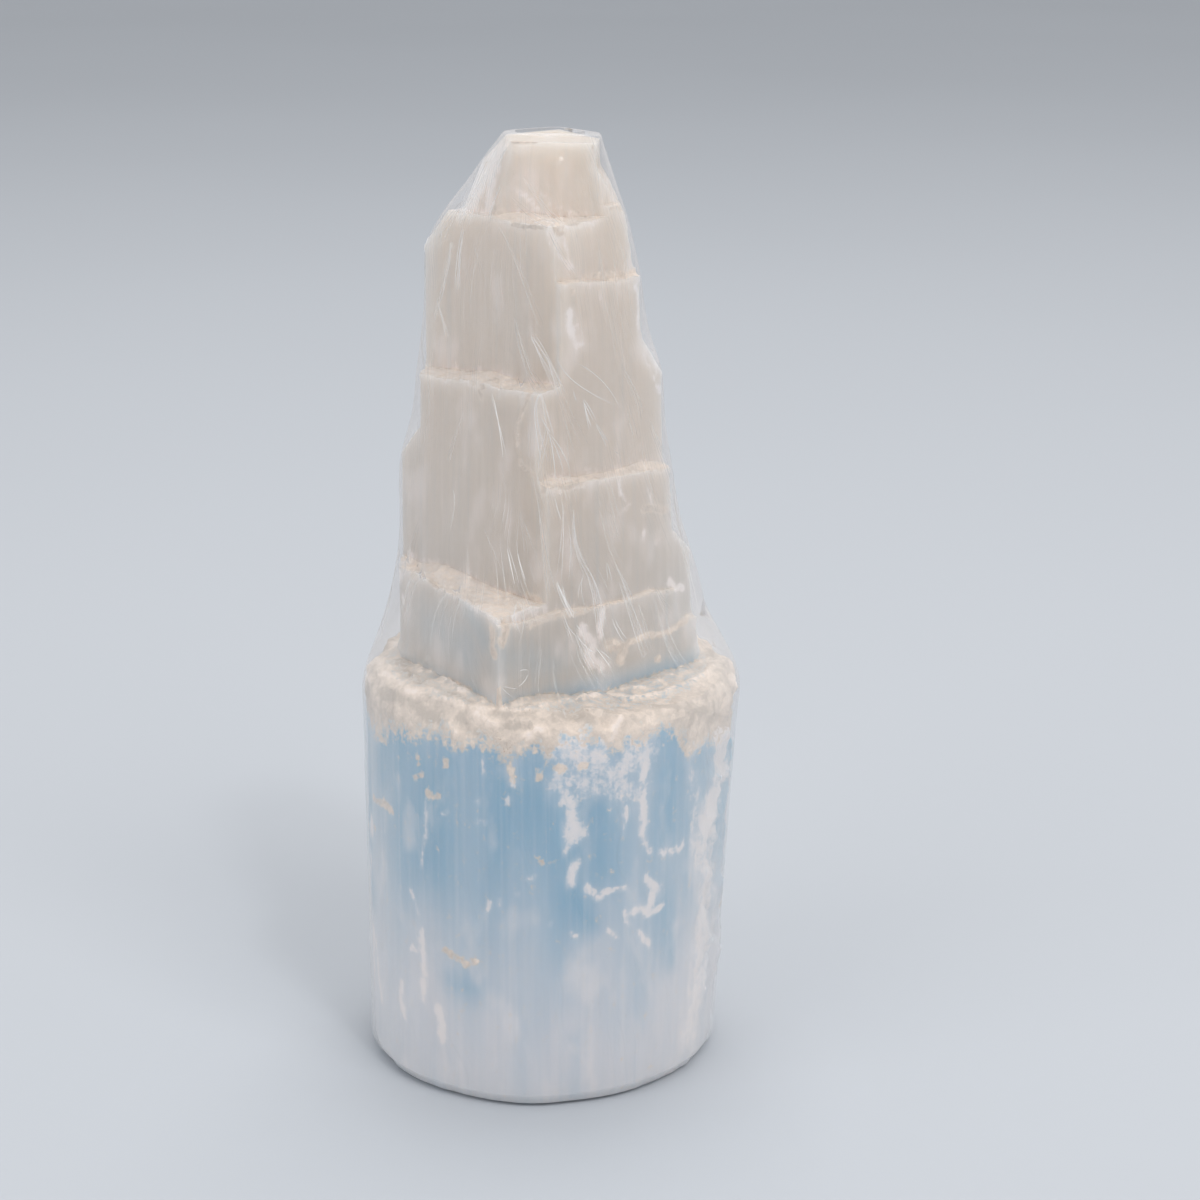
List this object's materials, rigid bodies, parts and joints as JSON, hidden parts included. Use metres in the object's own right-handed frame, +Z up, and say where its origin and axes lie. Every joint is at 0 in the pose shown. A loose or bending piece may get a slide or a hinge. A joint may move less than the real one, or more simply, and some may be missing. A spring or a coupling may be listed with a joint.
{
  "type": "selenite tower",
  "caption": "Selenite tower: a fibrous round column under a crumbled shoulder, with a stepped, faceted peak, in a clear shrink film sleeve.",
  "frame": {"origin": "middle of the flat foot that it stands on", "axes": "+Z up along the crystal's fibres, towards the peak; -Y towards the pictured front, where two tall faces meet in an edge; +X to the right of that front"},
  "size_m": [0.0825, 0.0802, 0.2009],
  "materials": {
    "selenite": "milky and fibrous, satin, with a crumbled cream-white crust",
    "clear_film": "clear, glossy, finely wrinkled"
  },
  "bodies": {
    "root": {"selenite_crystal": "selenite", "shrink_film": "clear_film"}
  },
  "joints": []
}
